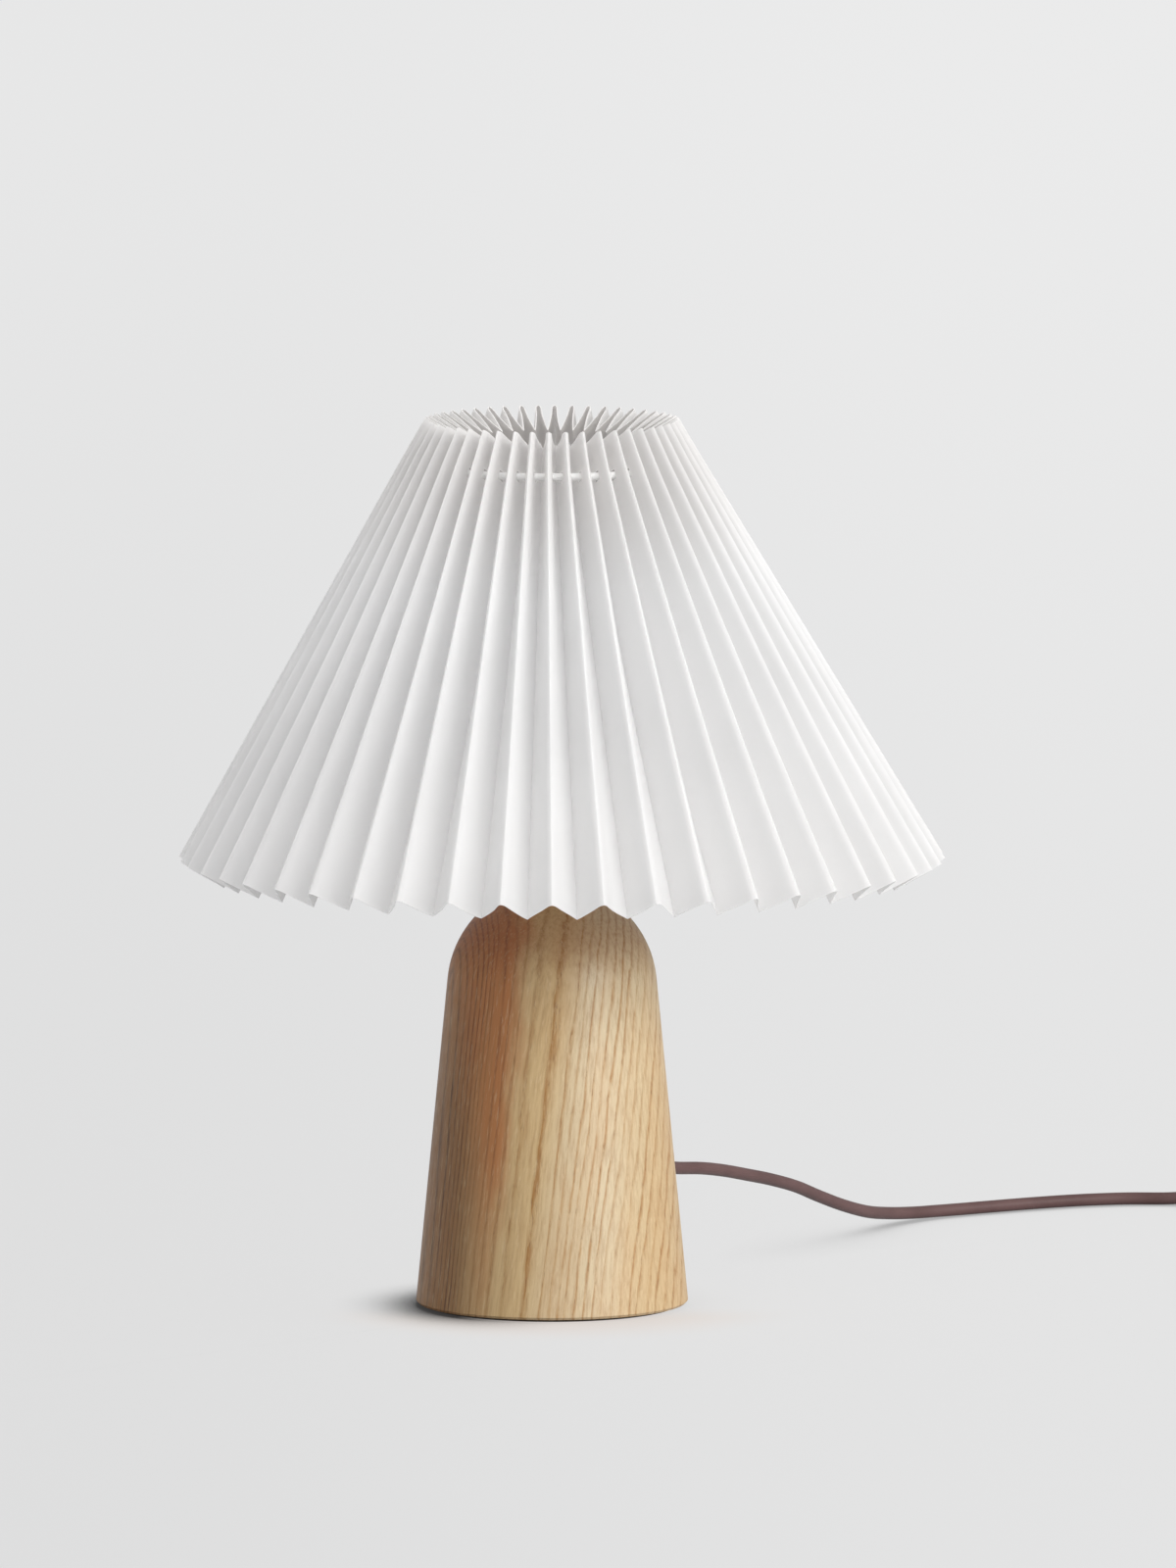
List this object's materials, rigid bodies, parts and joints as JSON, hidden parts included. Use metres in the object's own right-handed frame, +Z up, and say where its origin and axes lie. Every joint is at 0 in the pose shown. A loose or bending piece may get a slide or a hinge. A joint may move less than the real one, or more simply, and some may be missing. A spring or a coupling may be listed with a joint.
{
  "type": "pleated table lamp",
  "caption": "Table lamp with a pleated cone shade carried on a wire ring over a turned wooden base, with bulb, switched cord and plug.",
  "frame": {"origin": "on the lamp's axis at the underside of the base, where it stands on the table", "axes": "+Z up along the lamp's axis; -Y towards the viewer of the picture, +X to the viewer's right"},
  "size_m": [0.5296, 0.445, 0.35],
  "materials": {
    "ash_wood": "turned and oiled, satin",
    "felt": "pressed felt",
    "zinc_steel": "zinc plated",
    "brass": "bare",
    "white_plastic": "moulded, smooth",
    "ceramic": "unglazed",
    "live_core": "smooth insulation",
    "neutral_core": "smooth insulation",
    "white_paint": "powder coated",
    "pleated_sheet": "matt, knife pleated",
    "cap_metal": "nickel plated",
    "black_glass": "vitreous",
    "bulb_plastic": "moulded",
    "opal_globe": "opal, satin",
    "cord_sheath": "smooth matt sheath",
    "taupe_plastic": "moulded, fine grain",
    "rocker_plastic": "moulded, smooth",
    "tie_strap": "woven strap"
  },
  "bodies": {
    "lamp": {"base_body": "ash_wood", "base_pad": "felt", "threaded_tube": "zinc_steel", "tube_nut": "zinc_steel", "tube_washer": "zinc_steel", "cord_bush": "taupe_plastic", "cord_grip": "white_plastic", "grip_screws": "zinc_steel", "cord_inner": "cord_sheath", "live_wire": "live_core", "neutral_wire": "neutral_core", "holder_cap": "white_plastic", "cap_locknut": "zinc_steel", "holder_sleeve": "white_plastic", "terminal_block": "ceramic", "terminal_posts": "brass", "terminal_screws": "zinc_steel", "screw_shell": "brass", "centre_contact": "brass", "collar_nut": "white_plastic", "cord_lead": "cord_sheath", "switch_base": "taupe_plastic", "switch_cover": "taupe_plastic", "rocker_pin": "zinc_steel", "switch_contacts": "brass", "contact_blade": "brass", "switch_screws": "zinc_steel", "cord_link": "cord_sheath", "cord_coil": "cord_sheath", "coil_tie": "tie_strap", "cord_tail": "cord_sheath", "plug_body": "taupe_plastic", "plug_pins": "cap_metal", "pin_sleeves": "rocker_plastic"},
    "shade": {"fitter_ring": "white_paint", "carrier_arms": "white_paint", "carrier_ring": "white_paint", "shade_pleats": "pleated_sheet"},
    "rocker": {"switch_rocker": "rocker_plastic"},
    "bulb_lift": {"bulb_tip": "cap_metal"},
    "bulb": {"bulb_insulator": "black_glass", "bulb_cap": "cap_metal", "bulb_body": "bulb_plastic", "bulb_globe": "opal_globe"}
  },
  "joints": [
    {"name": "shade_swivel", "type": "hinge", "parent": "lamp", "child": "shade", "pos_m": [0, 0, 0.1968], "axis": [0, 0, 1], "continuous": true},
    {"name": "rocker_tilt", "type": "hinge", "parent": "lamp", "child": "rocker", "pos_m": [0.31, 0.282, 0.0145], "axis": [0, 1, 0], "range_deg": [0, 14]},
    {"name": "bulb_rise", "type": "slide", "parent": "lamp", "child": "bulb_lift", "axis": [0, 0, 1], "range_m": [0, 0.01634]},
    {"name": "bulb_turn", "type": "hinge", "parent": "bulb_lift", "child": "bulb", "pos_m": [0, 0, 0.1926], "axis": [0, 0, 1], "range_deg": [0, 1620]}
  ],
  "couplings": [
    {"joint": "bulb_rise", "follows": "bulb_turn", "m_per_rad": 0.00057757}
  ]
}
